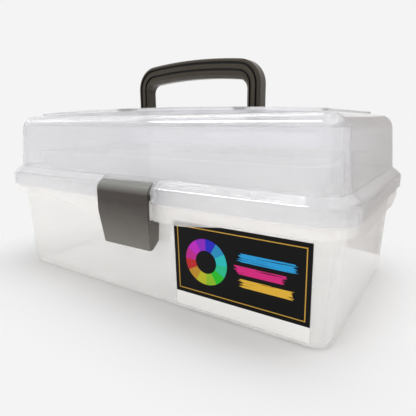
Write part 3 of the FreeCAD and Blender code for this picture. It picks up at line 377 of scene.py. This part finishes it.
# %% Floor
BACKDROP = linear("#F4F4F4")
FLOOR_SIZE = 40
FOOT_CORNER = (138 * MM, 72 * MM, 0)
FOOT_ROUND = 10 * MM
FADE_STARTS, FADE_ENDS = 25 * MM, 110 * MM
CONTACT_REACH = 60 * MM
bpy.ops.mesh.primitive_plane_add(size=FLOOR_SIZE)
floor = bpy.context.object
floor.name = "studio_floor"
paper, tree, output = new_material("pale_studio_paper")
place = add(tree, "ShaderNodeTexCoord").outputs["Object"]
quarter = add(tree, "ShaderNodeVectorMath", {0: place}, operation="ABSOLUTE")
offset = add(tree, "ShaderNodeVectorMath", {0: quarter.outputs[0], 1: FOOT_CORNER}, operation="SUBTRACT")
past = add(tree, "ShaderNodeVectorMath", {0: offset.outputs[0], 1: (0, 0, 0)}, operation="MAXIMUM")
away = add(tree, "ShaderNodeVectorMath", {0: past.outputs[0]}, operation="LENGTH").outputs["Value"]
fade = add(tree, "ShaderNodeMapRange", {"Value": away, "From Min": FADE_STARTS, "From Max": FADE_ENDS})
foot = add(tree, "ShaderNodeMath", {0: away, 1: FOOT_ROUND}, operation="LESS_THAN").outputs[0]
contact = add(tree, "ShaderNodeAmbientOcclusion", {"Distance": CONTACT_REACH})
lit = add(tree, "ShaderNodeMath", {0: contact.outputs["AO"], 1: foot}, operation="MAXIMUM")
tone = add(tree, "ShaderNodeMix", {
    "Factor": lit.outputs[0], "A": linear("#D0CDCA"), "B": BACKDROP}, data_type="RGBA")
matt = add(tree, "ShaderNodeBsdfDiffuse", {"Color": tone.outputs["Result"]})
glow = add(tree, "ShaderNodeEmission", {"Color": BACKDROP})
faded = add(tree, "ShaderNodeMixShader", {
    0: fade.outputs["Result"], 1: matt.outputs[0], 2: glow.outputs[0]})
tree.links.new(faded.outputs[0], output.inputs["Surface"])
floor.data.materials.append(paper)
print("floor fades out", round(FADE_ENDS / MM), "mm from the foot")

# %% [markdown]
# The world does two jobs. What the camera, the gloss and the clear plastic see of it is the plain
# backdrop. What lights the matt surfaces is a sky that is brighter from the right, as in a room with a
# window on that side.

# %% World
SKY_LEFT, SKY_RIGHT = 0.65, 0.9
world = bpy.data.worlds.new("studio_world")
bpy.context.scene.world = world
world.use_nodes = True
tree = world.node_tree
tree.nodes.clear()
output = add(tree, "ShaderNodeOutputWorld")
rays = add(tree, "ShaderNodeLightPath").outputs
direct = add(tree, "ShaderNodeMath", {
    0: rays["Is Camera Ray"], 1: rays["Is Transmission Ray"]}, operation="MAXIMUM")
seen = add(tree, "ShaderNodeMath", {0: direct.outputs[0], 1: rays["Is Glossy Ray"]}, operation="MAXIMUM")
aim = add(tree, "ShaderNodeSeparateXYZ", {"Vector": add(tree, "ShaderNodeTexCoord").outputs["Generated"]})
fall = add(tree, "ShaderNodeMapRange", {
    "Value": aim.outputs["X"], "From Min": -1.0, "To Min": SKY_LEFT, "To Max": SKY_RIGHT})
sky = add(tree, "ShaderNodeBackground", {"Color": linear("#F5F5F6"), "Strength": fall.outputs["Result"]})
backdrop = add(tree, "ShaderNodeBackground", {"Color": BACKDROP})
room = add(tree, "ShaderNodeMixShader", {
    0: seen.outputs[0], 1: sky.outputs[0], 2: backdrop.outputs[0]})
tree.links.new(room.outputs[0], output.inputs["Surface"])
print("backdrop", [round(c, 3) for c in BACKDROP[:3]])

# %% [markdown]
# Product light is large and soft: one wide lamp above and one in front. A narrow strip above the front
# edge of the lid draws the long white line that shows how glossy the plastic is. It points straight
# down, so that its long side runs along the box. Ray visibility shares the work: the strip is kept off
# the matt surfaces, so it doesn't wash out the shadow on the floor, and the two wide lamps are kept out
# of the gloss, where they would show as pale squares.

# %% Lamps
STRIP_X, STRIP_Y, STRIP_Z = -0.35, -0.36, 0.9


def soft_lamp(name, place, target, size, watts):
    """A rectangular lamp in metres and watts, aimed at a target."""
    lamp = bpy.data.lights.new(name, "AREA")
    lamp.shape = "RECTANGLE"
    lamp.size, lamp.size_y = size
    lamp.energy = watts
    holder = bpy.data.objects.new(name, lamp)
    bpy.context.scene.collection.objects.link(holder)
    holder.location = place
    holder.rotation_euler = (Vector(target) - Vector(place)).to_track_quat("-Z", "Y").to_euler()
    return holder


overhead = soft_lamp("overhead_softbox", place=(0.6, 0.3, 1.2), target=(0, 0, 0.05),
                     size=(1.2, 1.2), watts=5.0)
strip = soft_lamp("lid_edge_softbox", place=(STRIP_X, STRIP_Y, STRIP_Z), target=(STRIP_X, STRIP_Y, 0),
                  size=(0.7, 0.16), watts=4.2)
front = soft_lamp("front_softbox", place=(-0.3, -1.35, 0.75), target=(0, 0, 0.08),
                  size=(1.0, 1.0), watts=4.4)
strip.visible_diffuse = False
overhead.visible_glossy = front.visible_glossy = False
print("lamps:", [lamp.name for lamp in (overhead, strip, front)])

# %% [markdown]
# Seen along its right end, a glossy wall is nearly a mirror, and would show nothing but the pale
# backdrop. A photographer stands a grey card there, called a flag, so that the end turns a shade darker
# and the corner shows. This one is folded, with one leaf behind the end and one beside it. Ray
# visibility lets only the gloss see the card: it stays out of the picture and casts no shadow.

# %% Flag
FLAG_LEFT, FLAG_RIGHT, FLAG_BACK, FLAG_FRONT, FLAG_TOP = 0.14, 0.5, 0.12, -0.4, 0.5
FLAG_PLAN = ((FLAG_LEFT, FLAG_BACK), (FLAG_RIGHT, FLAG_BACK), (FLAG_RIGHT, FLAG_FRONT))
FLAG_LEAVES = [(0, 1, 4, 3), (1, 2, 5, 4)]
folded_card = bpy.data.meshes.new("grey_flag")
folded_card.from_pydata([(x, y, z) for z in (0, FLAG_TOP) for x, y in FLAG_PLAN], [], FLAG_LEAVES)
flag = bpy.data.objects.new("grey_flag", folded_card)
bpy.context.scene.collection.objects.link(flag)
card, tree, output = new_material("grey_card")
matt = add(tree, "ShaderNodeBsdfDiffuse", {"Color": linear("#C6C0BD")})
tree.links.new(matt.outputs[0], output.inputs["Surface"])
folded_card.materials.append(card)
flag.visible_camera = flag.visible_diffuse = flag.visible_transmission = flag.visible_shadow = False
print("flag", FLAG_BACK, "m behind the middle of the box")

# %% [markdown]
# The camera stands close, in front and to the right of the box, and looks slightly down. Its place, its
# angles and its focal length were found from the straight edges of the box in the photograph. The focal
# length came out in pixels of that picture, so it is turned into millimetres on a 36 mm sensor.

# %% Camera
YAW, PITCH, ROLL = 0.5836, 0.2241, -0.0046
EYE_PLACE = (0.2038, -0.2955, 0.1385)
FOCAL_PX, PICTURE_PX, SENSOR_MM = 379.018, 416, 36
forward = Vector((-math.sin(YAW) * math.cos(PITCH), math.cos(YAW) * math.cos(PITCH), -math.sin(PITCH)))
sideways = Vector((math.cos(YAW), math.sin(YAW), 0))
upright = sideways.cross(forward)
right = sideways * math.cos(ROLL) + upright * math.sin(ROLL)
top = upright * math.cos(ROLL) - sideways * math.sin(ROLL)
eye = bpy.data.cameras.new("camera")
eye.sensor_width = SENSOR_MM
eye.lens = FOCAL_PX / PICTURE_PX * SENSOR_MM
camera = bpy.data.objects.new("camera", eye)
bpy.context.scene.collection.objects.link(camera)
turned = Matrix((right, top, -forward)).transposed().to_4x4()
camera.matrix_world = Matrix.Translation(Vector(EYE_PLACE)) @ turned
bpy.context.scene.camera = camera
bpy.context.scene.view_settings.view_transform = "Standard"
print("lens", round(eye.lens, 2), "mm")
